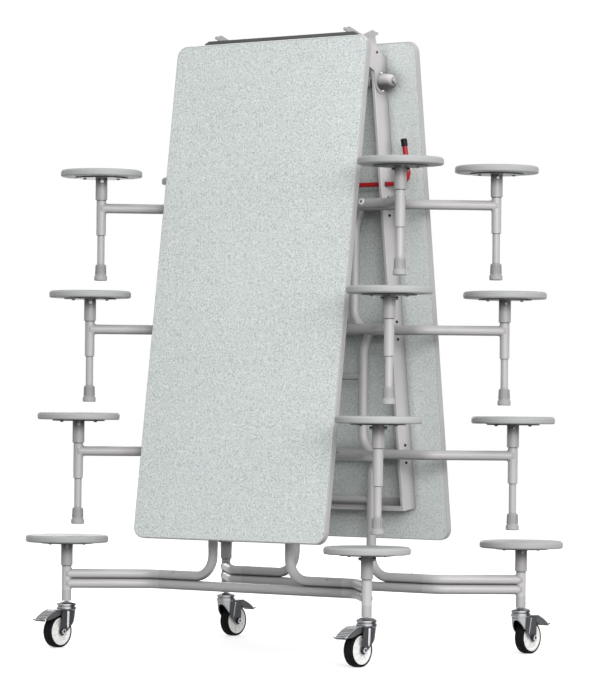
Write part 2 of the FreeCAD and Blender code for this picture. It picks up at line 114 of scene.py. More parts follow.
def mixColour(tree, factor, a, b):
    node = tree.nodes.new("ShaderNodeMix")
    node.data_type = "RGBA"
    tree.links.new(factor, node.inputs["Factor"])
    first, second = [s for s in node.inputs if s.type == "RGBA"]
    feed(tree, first, a)
    feed(tree, second, b)
    return [s for s in node.outputs if s.type == "RGBA"][0]


def axes(tree, vector):
    split = tree.nodes.new("ShaderNodeSeparateXYZ")
    tree.links.new(vector, split.inputs[0])
    return split.outputs


def srgb(*levels):
    # picture levels of 0 to 255 as the linear colour that a socket takes
    shares = [level / 255 for level in levels]
    linear = [s / 12.92 if s <= 0.04045 else ((s + 0.055) / 1.055) ** 2.4 for s in shares]
    return (*linear, 1.0)


# studio: pale floor, white surroundings, broad soft lamps
studio = {
    "floorSize": 40.0,
    "floorColour": (0.90, 0.90, 0.90, 1.0),
    "floorRough": 0.9,
    "floorLift": 0.33,                          # keeps the pale floor white where nothing shades it
    "bounceColour": (0.15, 0.15, 0.15, 1.0),    # what the floor sends back to the undersides
    "white": (1.0, 1.0, 1.0, 1.0),
    "lowLevel": 0.56,
    "skyLevel": 1.05,
    "heightSpan": (-0.2, 0.8),                  # where low level turns to sky level
    "leftShare": 0.70,                          # the surroundings are dimmer on the left
    "sideSpan": (-0.8, 0.6),                    # where they gain full level, from left to right
    "lampAim": (0.0, 0.0, 0.9),
    "lamps": [
        # name, place, size, watts
        ("keyPanel", (6.1, -6.0, 3.1), 3.6, 366.0),
        ("sidePanel", (6.8, -2.4, 2.3), 2.6, 150.0),
        ("topPanel", (0.4, 0.5, 5.6), 3.0, 8.0),
        ("backPanel", (-5.6, 5.4, 2.2), 3.6, 150.0),
    ],
}


def shownRays(tree):
    # 1 for what the camera sees, straight or in a reflection
    path = tree.nodes.new("ShaderNodeLightPath")
    seen = mathNode(tree, "MAXIMUM", path.outputs["Is Camera Ray"], path.outputs["Is Glossy Ray"])
    return mathNode(tree, "MAXIMUM", seen, path.outputs["Is Transmission Ray"])


def buildFloor(setup):
    mesh = bpy.data.meshes.new("studioFloor")
    bm = bmesh.new()
    bmesh.ops.create_grid(bm, x_segments=2, y_segments=2, size=setup["floorSize"] / 2)
    bm.to_mesh(mesh)
    bm.free()
    floor = bpy.data.objects.new("studioFloor", mesh)
    bpy.context.collection.objects.link(floor)
    mat = bpy.data.materials.new("studioFloorPaint")
    mat.use_nodes = True
    tree = mat.node_tree
    shown = tree.nodes["Principled BSDF"]
    shown.inputs["Base Color"].default_value = setup["floorColour"]
    shown.inputs["Roughness"].default_value = setup["floorRough"]
    shown.inputs["Emission Color"].default_value = setup["white"]
    shown.inputs["Emission Strength"].default_value = setup["floorLift"]
    bounce = tree.nodes.new("ShaderNodeBsdfDiffuse")
    bounce.inputs["Color"].default_value = setup["bounceColour"]
    mix = tree.nodes.new("ShaderNodeMixShader")
    tree.links.new(shownRays(tree), mix.inputs[0])
    tree.links.new(bounce.outputs[0], mix.inputs[1])
    tree.links.new(shown.outputs[0], mix.inputs[2])
    tree.links.new(mix.outputs[0], tree.nodes["Material Output"].inputs["Surface"])
    mesh.materials.append(mat)


def buildWorld(setup):
    world = bpy.data.worlds.new("studioWorld")
    world.use_nodes = True
    bpy.context.scene.world = world
    tree = world.node_tree
    tree.nodes.clear()
    out = tree.nodes.new("ShaderNodeOutputWorld")
    mix = tree.nodes.new("ShaderNodeMixShader")
    lit = tree.nodes.new("ShaderNodeBackground")
    seen = tree.nodes.new("ShaderNodeBackground")
    coords = tree.nodes.new("ShaderNodeTexCoord")
    toward = axes(tree, coords.outputs["Generated"])
    height = rangeNode(tree, toward["Z"], *setup["heightSpan"], setup["lowLevel"], setup["skyLevel"])
    side = rangeNode(tree, toward["X"], *setup["sideSpan"], setup["leftShare"], 1.0)
    tree.links.new(mathNode(tree, "MULTIPLY", height, side), lit.inputs["Strength"])
    seen.inputs["Strength"].default_value = 1.0
    for background in (lit, seen):
        background.inputs["Color"].default_value = setup["white"]
    tree.links.new(shownRays(tree), mix.inputs[0])
    tree.links.new(lit.outputs[0], mix.inputs[1])
    tree.links.new(seen.outputs[0], mix.inputs[2])
    tree.links.new(mix.outputs[0], out.inputs["Surface"])


def hangLamps(setup):
    for name, place, size, watts in setup["lamps"]:
        data = bpy.data.lights.new(name, "AREA")
        data.shape = "DISK"
        data.size = size
        data.energy = watts
        lamp = bpy.data.objects.new(name, data)
        bpy.context.collection.objects.link(lamp)
        aim = Vector(setup["lampAim"]) - Vector(place)
        turn = aim.to_track_quat("-Z", "Y").to_matrix().to_4x4()
        lamp.matrix_world = Matrix.Translation(place) @ turn


buildFloor(studio)
buildWorld(studio)
hangLamps(studio)
print("studio lit")


# shared surface effects
numberKind = "NodeSocketFloat"
vectorKind = "NodeSocketVector"
colourKind = "NodeSocketColor"


def newGroup(name, inputs, outputs):
    group = bpy.data.node_groups.new(name, "ShaderNodeTree")
    for way, sockets in (("INPUT", inputs), ("OUTPUT", outputs)):
        for label, kind in sockets:
            group.interface.new_socket(label, in_out=way, socket_type=kind)
    start = group.nodes.new("NodeGroupInput")
    end = group.nodes.new("NodeGroupOutput")
    return group, start, end


# soft mottling, rubbed patches and fine grain for painted and moulded parts
scuffNoise = {
    "grain": (1.5, 0.55),               # detail and roughness of each noise
    "patches": (5.0, 0.68),
    "streaks": (3.0, 0.6),
    "mottle": (3.0, 0.5),
    "mottleScale": 3.2,
    "streakStretch": (60.0, 60.0, 9.0),
    "patchSpan": (0.54, 0.70),
    "streakSpan": (0.45, 0.75),
}


def buildScuffGroup(look):
    group, start, end = newGroup(
        "scuffedFinish",
        [("Vector", vectorKind), ("Grain Scale", numberKind), ("Scuff Scale", numberKind)],
        [("Grain", numberKind), ("Scuff", numberKind), ("Mottle", numberKind)],
    )
    vector = start.outputs["Vector"]
    grain = noiseNode(group, vector, start.outputs["Grain Scale"], *look["grain"])
    patches = noiseNode(group, vector, start.outputs["Scuff Scale"], *look["patches"])
    stretch = group.nodes.new("ShaderNodeMapping")
    stretch.inputs["Scale"].default_value = look["streakStretch"]
    group.links.new(vector, stretch.inputs["Vector"])
    streaks = noiseNode(group, stretch.outputs["Vector"], 1.0, *look["streaks"])
    rubbed = mathNode(group, "MULTIPLY", rangeNode(group, patches, *look["patchSpan"]),
                      rangeNode(group, streaks, *look["streakSpan"]))
    mottle = noiseNode(group, vector, look["mottleScale"], *look["mottle"])
    group.links.new(grain, end.inputs["Grain"])
    group.links.new(rubbed, end.inputs["Scuff"])
    group.links.new(mottle, end.inputs["Mottle"])
    return group


# painted shade gathered where surfaces meet, darkening the colour by ambient occlusion
creaseShadeSpan = {"samples": 8, "open": 0.92, "shut": 0.30}


def buildCreaseShadeGroup(look):
    group, start, end = newGroup(
        "creaseShade",
        [("Colour", colourKind), ("Reach", numberKind), ("Depth", numberKind)],
        [("Colour", colourKind)],
    )
    nearby = group.nodes.new("ShaderNodeAmbientOcclusion")
    nearby.samples = look["samples"]
    group.links.new(start.outputs["Reach"], nearby.inputs["Distance"])
    shut = rangeNode(group, nearby.outputs["AO"], look["open"], look["shut"])
    level = mathNode(group, "SUBTRACT", 1.0, mathNode(group, "MULTIPLY", shut, start.outputs["Depth"]))
    scaled = group.nodes.new("ShaderNodeVectorMath")
    scaled.operation = "SCALE"
    group.links.new(start.outputs["Colour"], scaled.inputs["Vector"])
    group.links.new(level, scaled.inputs["Scale"])
    group.links.new(scaled.outputs["Vector"], end.inputs["Colour"])
    return group


scuffGroup = buildScuffGroup(scuffNoise)
creaseShadeGroup = buildCreaseShadeGroup(creaseShadeSpan)


def shadeCreases(tree, colour, reach, depth):
    use = tree.nodes.new("ShaderNodeGroup")
    use.node_tree = creaseShadeGroup
    use.inputs["Reach"].default_value = reach
    use.inputs["Depth"].default_value = depth
    tree.links.new(colour, use.inputs["Colour"])
    return use.outputs["Colour"]


def newFinish(name):
    mat = bpy.data.materials.new(name)
    mat.use_nodes = True
    tree = mat.node_tree
    coords = tree.nodes.new("ShaderNodeTexCoord")
    return mat, tree, tree.nodes["Principled BSDF"], coords.outputs


def bumpInto(tree, shader, height, strength, distance):
    bump = tree.nodes.new("ShaderNodeBump")
    bump.inputs["Strength"].default_value = strength
    bump.inputs["Distance"].default_value = distance
    tree.links.new(height, bump.inputs["Height"])
    tree.links.new(bump.outputs["Normal"], shader.inputs["Normal"])


def zoneMask(tree, coords, zone):
    # shows between two heights, repeated up the stool rows, with soft edges; only where X is far enough out
    place = axes(tree, coords["Object"])
    lifted = mathNode(tree, "SUBTRACT", place["Z"], zone["low"] - zone["fadeLow"])
    turns = mathNode(tree, "FRACT", mathNode(tree, "DIVIDE", lifted, zone["rise"]))
    above = mathNode(tree, "MULTIPLY", turns, zone["rise"])
    span = zone["fadeLow"] + zone["high"] - zone["low"]
    risen = rangeNode(tree, above, 0.0, zone["fadeLow"])
    inside = mathNode(tree, "MULTIPLY", risen, rangeNode(tree, above, span + zone["fadeHigh"], span))
    outer = mathNode(tree, "GREATER_THAN", mathNode(tree, "ABSOLUTE", place["X"]), zone["fromX"])
    return mathNode(tree, "MULTIPLY", mathNode(tree, "MULTIPLY", inside, outer), zone["weight"])


def facingMask(tree, coords, facing):
    # shows where the surface of a piece looks the ways that are listed
    turned = axes(tree, coords["Normal"])
    mask = facing["weight"]
    for axis, bothWays, low, high in facing["ways"]:
        toward = mathNode(tree, "ABSOLUTE", turned[axis]) if bothWays else turned[axis]
        mask = mathNode(tree, "MULTIPLY", rangeNode(tree, toward, low, high), mask)
    return mask


def coatedFinish(name, look):
    # paint, plastic, rubber and plated metal from one recipe with its own numbers
    mat, tree, shader, coords = newFinish(name)
    use = tree.nodes.new("ShaderNodeGroup")
    use.node_tree = scuffGroup
    use.inputs["Grain Scale"].default_value = look["grainScale"]
    use.inputs["Scuff Scale"].default_value = look["scuffScale"]
    tree.links.new(coords["Object"], use.inputs["Vector"])
    mottle, scuff = use.outputs["Mottle"], use.outputs["Scuff"]
    body = mixColour(tree, rangeNode(tree, mottle, *look["mottleSpan"]), look["colour"], look["shade"])
    rubbed = mathNode(tree, "MULTIPLY", scuff, look["scuff"], clamp=True)
    colour = mixColour(tree, rubbed, body, look["scuffColour"])
    # painted light and shade laid over the colour: zones by height, facings by the way the surface looks
    for zone in look["zones"]:
        colour = mixColour(tree, zoneMask(tree, coords, zone), colour, zone["colour"])
    for facing in look["facings"]:
        colour = mixColour(tree, facingMask(tree, coords, facing), colour, facing["colour"])
    # painted shade in creases and where parts meet
    if look["creaseShadeDepth"]:
        colour = shadeCreases(tree, colour, look["reach"], look["creaseShadeDepth"])
    tree.links.new(colour, shader.inputs["Base Color"])
    ground = rangeNode(tree, mottle, *look["roughSpan"], look["rough"] - look["smoother"],
                       look["rough"] + look["rougher"])
    worn = mathNode(tree, "MULTIPLY", scuff, look["scuffRough"])
    tree.links.new(mathNode(tree, "ADD", ground, worn, clamp=True), shader.inputs["Roughness"])
    shader.inputs["Metallic"].default_value = look["metal"]
    shader.inputs["Specular IOR Level"].default_value = look["shine"]
    bumpInto(tree, shader, use.outputs["Grain"], look["bump"], look["bumpDepth"])
    return mat


plain = {
    "grainScale": 900.0, "bump": 0.25, "bumpDepth": 0.0006,
    "scuffScale": 14.0, "scuff": 0.25, "scuffColour": srgb(140, 139, 138), "scuffRough": 0.12,
    "mottleSpan": (0.35, 0.65), "roughSpan": (0.3, 0.7), "rough": 0.42, "smoother": 0.04, "rougher": 0.05,
    "metal": 0.0, "shine": 0.5,
    "zones": (), "facings": (), "creaseShadeDepth": 0.75, "reach": 0.045,
}
# painted shade and light by height over the floor of the base row: shade at the seams, at the seat plates and
# on the ears, light on the base tubes
rowRise = 0.378021
unrepeated = 9.0            # a rise beyond the top of the table
plainZone = {"fadeLow": 0.0003, "fadeHigh": 0.0003, "rise": rowRise, "fromX": 0.55, "weight": 1.0}
# painted shade: dark bands in the seams at the foot of the column and at the foot of the sleeve
columnSeamShade = (
    dict(plainZone, low=0.1404, high=0.1419, colour=srgb(88, 87, 87)),
    dict(plainZone, low=0.2502, high=0.2519, fadeLow=0.002, colour=srgb(96, 95, 95)),
)
# painted light: the base tubes are lightened
baseTubeLight = (
    dict(plainZone, low=0.176, high=0.245, rise=unrepeated, fromX=0.36, weight=0.7,
         colour=srgb(196, 194, 195)),
)
# painted shade: the post darkens up to the seat plate, and the plate under the seat is painted dark
seatPlateShade = (
    dict(plainZone, low=0.3150, high=0.3240, fadeLow=0.030, fromX=0.45, weight=0.55, colour=srgb(70, 70, 71)),
    dict(plainZone, low=0.3184, high=0.3240, fromX=0.45, colour=srgb(58, 58, 60)),
)
# painted shade: the tops of the rear hinge ears are darkened
earShade = (
    dict(plainZone, low=1.872, high=3.0, fadeLow=0.030, rise=unrepeated, fromX=0.2, weight=0.45,
         colour=srgb(128, 126, 127)),
)
# painted shade and highlight by the way a surface looks: axis, both ways or one, and where the mark starts
# and is full
upright = ("Z", True, 0.75, 0.60)
forkShade = (
    # painted shade and reflection on the plated sheet: flat cheeks and the sides turned from the lamps are
    # painted dark, so bends and fronts read bright
    {"weight": 0.92, "colour": srgb(40, 41, 44), "ways": (("Y", False, -0.45, -0.25), upright)},
    {"weight": 0.5, "colour": srgb(40, 41, 44), "ways": (("X", False, 0.55, 0.20), upright)},
)
# painted shade on the undersides of the tubes
underShade = ({"weight": 0.6, "colour": srgb(62, 61, 62), "ways": (("Z", False, -0.50, -0.98),)},)
# painted shade: the damper cup darkens towards its underside
damperShade = ({"weight": 1.0, "colour": srgb(84, 82, 83), "ways": (("Z", False, 0.50, -0.50),)},)
# painted highlight: the top faces of the pedals are bright zinc, the sides stay dark
pedalTopHighlight = ({"weight": 0.9, "colour": srgb(186, 187, 190), "ways": (("Z", False, 0.25, 0.45),)},)

finishes = {
    "framePaint": dict(plain, colour=srgb(180, 178, 179), shade=srgb(174, 172, 173), rough=0.40,
                       grainScale=700.0, zones=columnSeamShade + baseTubeLight, facings=underShade, creaseShadeDepth=0.58),
    "railPaint": dict(plain, colour=srgb(198, 195, 196), shade=srgb(190, 187, 188), rough=0.44,
                      grainScale=700.0, zones=earShade),
    "postPaint": dict(plain, colour=srgb(166, 164, 164), shade=srgb(159, 157, 157), zones=seatPlateShade),
    "damperPaint": dict(plain, colour=srgb(212, 209, 210), shade=srgb(206, 203, 204), rough=0.44,
                        facings=damperShade),
    "weldBead": dict(plain, colour=srgb(182, 180, 181), shade=srgb(172, 170, 171), grainScale=500.0),
    "seatPlastic": dict(plain, colour=srgb(172, 173, 173), shade=srgb(165, 166, 166), rough=0.55, shine=0.3,
                        grainScale=1400.0, bump=0.35, scuff=0.3, scuffColour=srgb(182, 182, 181)),
    "edgePlastic": dict(plain, colour=srgb(176, 175, 175), shade=srgb(168, 168, 168), rough=0.46,
                        grainScale=1100.0),
    # painted highlight: near white for the glint along the front edge and the rings of the arm bolts
    "paintedHighlight": dict(plain, colour=srgb(243, 245, 244), shade=srgb(238, 240, 239), rough=0.30, creaseShadeDepth=0.0),
    "stripRubber": dict(plain, colour=srgb(95, 97, 97), shade=srgb(83, 85, 85), rough=0.6),
    "footRubber": dict(plain, colour=srgb(170, 170, 170), shade=srgb(161, 161, 161), rough=0.66,
                       grainScale=1200.0),
    "tyreRubber": dict(plain, colour=srgb(17, 17, 17), shade=srgb(24, 24, 24), rough=0.78, shine=0.12,
                       grainScale=1500.0, bump=0.4, scuffColour=srgb(54, 53, 51)),
    "wheelCentre": dict(plain, colour=srgb(240, 240, 238), shade=srgb(234, 234, 231), rough=0.38, scuff=0.3,
                        creaseShadeDepth=0.12),
    "zincPlate": dict(plain, colour=srgb(186, 187, 190), shade=srgb(158, 160, 163), rough=0.22, metal=1.0,
                      grainScale=260.0, bump=0.08, facings=forkShade, creaseShadeDepth=0.4, reach=0.01),
    # a lit copy of the zinc: lighter and without the painted shade of zincPlate
    "zincBright": dict(plain, colour=srgb(214, 216, 218), shade=srgb(196, 198, 201), rough=0.24, metal=1.0,
                       grainScale=260.0, bump=0.06, creaseShadeDepth=0.0),
    "linkSteel": dict(plain, colour=srgb(176, 178, 180), shade=srgb(156, 158, 160), rough=0.38, metal=0.9,
                      grainScale=320.0, bump=0.12),
    "pedalMetal": dict(plain, colour=srgb(72, 72, 74), shade=srgb(60, 60, 62), facings=pedalTopHighlight,
                       creaseShadeDepth=0.8, reach=0.006, scuffColour=srgb(136, 136, 137)),
    "leverRed": dict(plain, colour=srgb(174, 24, 32), shade=srgb(154, 18, 26), rough=0.36, shine=0.35,
                     scuffColour=srgb(118, 24, 28)),
    "gripBlack": dict(plain, colour=srgb(16, 16, 16), shade=srgb(22, 22, 22), rough=0.55, shine=0.2,
                      scuffColour=srgb(46, 46, 46)),
    "screwSteel": dict(plain, colour=srgb(128, 130, 133), shade=srgb(96, 98, 101), rough=0.32, metal=1.0,
                       grainScale=300.0, bump=0.08),
    "screwBlack": dict(plain, colour=srgb(26, 26, 27), shade=srgb(34, 34, 35), rough=0.45, shine=0.25,
                       grainScale=400.0, scuffColour=srgb(70, 70, 71)),
}

# speckled laminate of the table top
laminate = {
    "ground": srgb(212, 218, 217),
    "pale": srgb(232, 237, 235),
    "dark": srgb(174, 186, 185),
    "warm": srgb(207, 213, 210),
    "cloud": (2.4, 3.0, 0.5),           # scale, detail and roughness of each noise
    "blotch": (200.0, 2.0, 0.55),
    "fleck": (430.0, 1.0, 0.5),
    "smear": (9.0, 4.0, 0.6),
    "grain": (1300.0, 1.0, 0.5),
    "warmCloud": (0.35, 0.7),           # where each tint starts and is full
    "paleBlotch": (0.50, 0.66),
    "darkBlotch": (0.46, 0.33),
    "paleFleck": (0.60, 0.70),
    "darkFleck": (0.38, 0.30),
    "innerLift": 0.22,                    # painted light: how much paler the inner faces are made, lifting their shade
    "innerSide": -0.02,
    "rough": 0.58,
    "roughSpan": (0.3, 0.7),
    "smoother": 0.06,
    "rougher": 0.08,
    "shine": 0.1,
    "creaseShadeDepth": 0.45,
    "reach": 0.04,
    "bump": 0.15,
    "bumpDepth": 0.0004,
}


def laminateFinish(name, look):
    mat, tree, shader, coords = newFinish(name)
    kinds = ("cloud", "blotch", "fleck", "smear", "grain")
    noises = {kind: noiseNode(tree, coords["Object"], *look[kind]) for kind in kinds}
    warmth = rangeNode(tree, noises["cloud"], *look["warmCloud"])
    colour = mixColour(tree, warmth, look["ground"], look["warm"])
    for noise in ("blotch", "fleck"):
        for tint in ("pale", "dark"):
            share = rangeNode(tree, noises[noise], *look[tint + noise.capitalize()])
            colour = mixColour(tree, share, colour, look[tint])
    # painted light: faces turned in toward the other half are made paler
    outward = mathNode(tree, "MULTIPLY", axes(tree, coords["Object"])["Y"], axes(tree, coords["Normal"])["Y"])
    inner = mathNode(tree, "LESS_THAN", outward, look["innerSide"])
    colour = mixColour(tree, mathNode(tree, "MULTIPLY", inner, look["innerLift"]), colour, look["pale"])
    tree.links.new(shadeCreases(tree, colour, look["reach"], look["creaseShadeDepth"]), shader.inputs["Base Color"])
    rough = rangeNode(tree, noises["smear"], *look["roughSpan"], look["rough"] - look["smoother"],
                      look["rough"] + look["rougher"])
    tree.links.new(rough, shader.inputs["Roughness"])
    shader.inputs["Specular IOR Level"].default_value = look["shine"]
    bumpInto(tree, shader, noises["grain"], look["bump"], look["bumpDepth"])
    return mat


made = {name: coatedFinish(name, look) for name, look in finishes.items()}
made["laminate"] = laminateFinish("laminate", laminate)
print("finishes made:", len(made))

# by the end of a node's name
finishOf = {
    "_board": "laminate", "_band": "edgePlastic", "_strip": "stripRubber", "_rails": "railPaint",
    "_frame": "framePaint", "_posts": "postPaint", "_seats": "seatPlastic", "_feet": "footRubber",
    "_fork": "zincPlate", "_hub": "wheelCentre", "_tyre": "tyreRubber", "_pedal": "pedalMetal",
    "_bolts": "screwSteel", "_link_bars": "linkSteel", "_yokes": "linkSteel",
    "lever_bar": "leverRed", "lever_grip": "gripBlack",
}


def dressNodes():
    for name, node in nodes.items():
        finish = [f for tail, f in finishOf.items() if name.endswith(tail)][0]
        node.data.materials.clear()
        node.data.materials.append(made[finish])


dressNodes()
print("nodes dressed")

# where the stool frames stand, in metres, for the base row; every row above repeats it
stoolGrid = {
    "columnX": 0.5875, "columnY": 0.3815, "columnR": 0.015, "tubeR": 0.015,
    "legX": 0.151, "armY": 0.199, "armZ": 0.226, "lowerArmZ": 0.1965,
    "crossZ": 0.464, "crossR": 0.011,
    "pivotY": 0.228597, "pivotZ": 0.604941, "shaftR": 0.016, "leanDrop": 0.062,
    "rows": 4, "rowRise": rowRise, "rowShift": 0.047554,
}
# the two halves in the folded pose
halfPlane = {
    "tilt": math.radians(7.17), "footY": 0.316, "footZ": 0.3428,
    "pivotAlong": 0.271, "rowPitch": 0.381, "pivotDepth": 0.054, "railX": 0.258,
}
halves = (("front", -1), ("rear", 1))
sides = (("left", -1), ("right", 1))
alongX = Vector((1, 0, 0))
alongY = Vector((0, 1, 0))
alongZ = Vector((0, 0, 1))
fullTurn = 2 * math.pi
mergeGap = 1e-6


def stoolRows():
    for half, sy in halves:
        for level in range(stoolGrid["rows"]):
            isBase = level == 0
            body = half + ("_base" if isBase else "_row" + str(stoolGrid["rows"] - level))
            shift = Vector((0, -sy * stoolGrid["rowShift"] * level, stoolGrid["rowRise"] * level))
            yield body, sy, shift, isBase


def corners():
    for half, sy in halves:
        for side, sx in sides:
            yield half + "_" + side, sx, sy


def onHalf(sy, depth, along):
    # Y and Z of a point on a half, by its depth under the face and its way up from the lower end
    t = halfPlane["tilt"]
    y = halfPlane["footY"] - along * math.sin(t) - depth * math.cos(t)
    return sy * y, halfPlane["footZ"] + along * math.cos(t) - depth * math.sin(t)


def between(low, high, share):
    return low + (high - low) * share


def standing(at, outward, along):
    # local Z leaves along outward, local X runs along the host
    z = outward.normalized()
    x = (along - z * along.dot(z)).normalized()
    turn = Matrix((x, z.cross(x), z)).transposed().to_4x4()
    return Matrix.Translation(at) @ turn


def addPiece(bm, name, body, finish, smooth=True):
    bmesh.ops.recalc_face_normals(bm, faces=bm.faces)
    mesh = bpy.data.meshes.new(name)
    bm.to_mesh(mesh)
    bm.free()
    for face in mesh.polygons:
        face.use_smooth = smooth
    mesh.materials.append(made[finish])
    piece = bpy.data.objects.new(name, mesh)
    bpy.context.collection.objects.link(piece)
    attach(piece, body)
    return piece


def edgesOf(verts):
    return list(dict.fromkeys(e for v in verts for e in v.link_edges))


def spinRound(bm, verts, edges, steps):
    bmesh.ops.spin(bm, geom=verts + edges, cent=(0, 0, 0), axis=alongZ, angle=fullTurn, steps=steps,
                   use_merge=True)


def spunVerts(bm, profile, steps):
    # a profile of (radius, height) turned once round Z
    before = set(bm.verts)
    verts = [bm.verts.new((r, 0, z)) for r, z in profile]
    edges = [bm.edges.new(pair) for pair in zip(verts, verts[1:])]
    spinRound(bm, verts, edges, steps)
    fresh = [v for v in bm.verts if v not in before]
    bmesh.ops.remove_doubles(bm, verts=fresh, dist=mergeGap)
    return [v for v in bm.verts if v not in before]


def tubeThrough(bm, places, sideCount):
    # unit rings set by their places and joined into one closed tube
    loops = []
    for i, place in enumerate(places):
        isEnd = i in (0, len(places) - 1)
        ring = bmesh.ops.create_circle(bm, cap_ends=isEnd, segments=sideCount, radius=1.0, matrix=place)
        loops.append(edgesOf(ring["verts"]))
    for one, two in zip(loops, loops[1:]):
        bmesh.ops.bridge_loops(bm, edges=one + two)


def tubeAlong(bm, points, radius, sideCount, across):
    size = Matrix.Diagonal((radius, radius, 1.0, 1.0))
    headings = [two - one for one, two in zip(points[:1] + points, points[1:] + points[-1:])]
    tubeThrough(bm, [standing(p, heading, across) @ size for p, heading in zip(points, headings)], sideCount)


def hexHead(bm, place, radius, depth):
    bmesh.ops.create_cone(bm, cap_ends=True, segments=6, radius1=radius, radius2=radius, depth=depth,
                          matrix=place)


def softenEdges(bm, offset):
    bmesh.ops.bevel(bm, geom=bm.edges[:], offset=offset, affect="EDGES", segments=2, profile=0.5, material=-1)


# weld beads where tubes meet
weld = {"thick": 0.0024, "sides": 8, "steps": 44, "ripples": 22, "ripple": 0.14}


def weldBead(bm, at, outward, along, tubeR, hostR):
    before = set(bm.verts)
    stand = Matrix.Translation((tubeR, 0, 0)) @ Matrix.Rotation(math.pi / 2, 4, "X")
    ring = bmesh.ops.create_circle(bm, segments=weld["sides"], radius=weld["thick"], matrix=stand)["verts"]
    spinRound(bm, ring, edgesOf(ring), weld["steps"])
    place = standing(at, outward, along)
    for v in [v for v in bm.verts if v not in before]:
        turn = math.atan2(v.co.y, v.co.x)
        core = Vector((tubeR * math.cos(turn), tubeR * math.sin(turn), 0))
        v.co = core + (v.co - core) * (1 + weld["ripple"] * math.cos(weld["ripples"] * turn))
        v.co.z += math.sqrt(max(hostR ** 2 - v.co.y ** 2, 0.0))     # lies on the host's round side
        v.co = place @ v.co


def weldFrames():
    g = stoolGrid
    for body, sy, shift, isBase in stoolRows():
        bm = bmesh.new()
        for sx in (-1, 1):
            inward = Vector((-sx, -sy, 0))
            for height in (g["armZ"], g["lowerArmZ"]) if isBase else (g["armZ"],):
                arm = Vector((sx * g["columnX"], sy * g["columnY"], height)) + shift
                weldBead(bm, arm, inward, alongZ, g["tubeR"], g["columnR"])
            pivot = Vector((sx * g["legX"], sy * g["pivotY"], g["pivotZ"])) + shift
            down = Vector((0, sy * (g["armY"] - g["pivotY"]), -g["leanDrop"]))
            weldBead(bm, pivot, down, alongX, g["tubeR"], g["shaftR"])
            cross = Vector((sx * g["legX"], sy * g["armY"], g["crossZ"])) + shift
            weldBead(bm, cross, -sx * alongX, alongZ, g["crossR"], g["tubeR"])
        addPiece(bm, body + "_welds", body, "weldBead")


weldFrames()
print("welds laid")

# plates that widen the rear hinge ears and back up the top pivot, as (depth, along) on the rear half
gusset = {
    "inner": 0.2581, "outer": 0.2623,
    "outline": (
        (0.106, 1.556), (0.077, 1.556), (0.072, 1.540), (0.066, 1.522), (0.056, 1.507), (0.040, 1.495),
        (0.022, 1.489), (0.0215, 1.410), (0.025, 1.397), (0.033, 1.387), (0.044, 1.380), (0.054, 1.378),
        (0.064, 1.381), (0.073, 1.388), (0.0795, 1.398), (0.0826, 1.412), (0.0828, 1.440), (0.084, 1.449),
        (0.110, 1.466), (0.103, 1.500), (0.101, 1.522), (0.103, 1.545),
    ),
}


def gussetEars():
    bm = bmesh.new()
    for sx in (-1, 1):
        flat = [bm.verts.new((sx * gusset["inner"], *onHalf(1, *point))) for point in gusset["outline"]]
        raised = bmesh.ops.extrude_face_region(bm, geom=[bm.faces.new(flat)])["geom"]
        outer = [v for v in raised if isinstance(v, bmesh.types.BMVert)]
        bmesh.ops.translate(bm, vec=sx * (gusset["outer"] - gusset["inner"]) * alongX, verts=outer)
    addPiece(bm, "rear_earGussets", "rear_top", "railPaint", smooth=False)


gussetEars()
print("ears gusseted")

# button head screws on the rail webs; the rear top ones stand on the ear plates
screw = {
    "radius": 0.0042, "height": 0.0040, "socket": 0.0021, "depth": 0.0013, "step": 0.027, "turnSteps": 24,
    "flat": 0.6, "shoulder": (0.84, 0.82), "skirt": 0.42,       # shares of the radius and the height
    "hexShare": 0.88, "onSocket": 1e-5,
    "topRow": 3,
}


def buttonHead(bm, at, outward):
    r, h, socket, depth = (screw[k] for k in ("radius", "height", "socket", "depth"))
    shoulderR, shoulderH = screw["shoulder"]
    profile = [(0, h - depth), (socket, h - depth), (socket, h), (screw["flat"] * r, h),
               (shoulderR * r, shoulderH * h), (r, screw["skirt"] * h), (r, 0)]
    place = standing(at, outward, alongZ)
    for v in spunVerts(bm, profile, screw["turnSteps"]):
        if abs(math.hypot(v.co.x, v.co.y) - socket) < screw["onSocket"]:
            # the round socket becomes a hexagon
            turn = math.atan2(v.co.y, v.co.x) % (math.pi / 3) - math.pi / 6
            grow = screw["hexShare"] / math.cos(turn)
            v.co.x *= grow
            v.co.y *= grow
        v.co = place @ v.co


def screwRails():
    top = screw["topRow"]
    # painted shade and light: the lower rows are painted black for the shade in and round their sockets, the
    # top row is bright zinc
    kinds = ((range(top), "_webScrews", "screwBlack"), ((top,), "_headScrews", "zincBright"))
    for half, sy in halves:
        for rows, name, finish in kinds:
            bm = bmesh.new()
            for row in rows:
                pivot = halfPlane["pivotAlong"] + row * halfPlane["rowPitch"]
                base = gusset["outer"] if half == "rear" and row == top else halfPlane["railX"]
                for step in (-screw["step"], screw["step"]):
                    y, z = onHalf(sy, halfPlane["pivotDepth"], pivot + step)
                    for sx in (-1, 1):
                        buttonHead(bm, Vector((sx * base, y, z)), sx * alongX)
            addPiece(bm, half + name, half + "_top", finish, smooth=False)


screwRails()
print("rail screws set")

# moulded grip ribs round the rubber feet
footRib = {
    "count": 22, "low": 0.0205, "high": 0.0480, "radius": 0.0163, "proud": 0.0016, "wide": 0.0017,
    "lean": 0.044,          # radians, along the taper of the foot
}


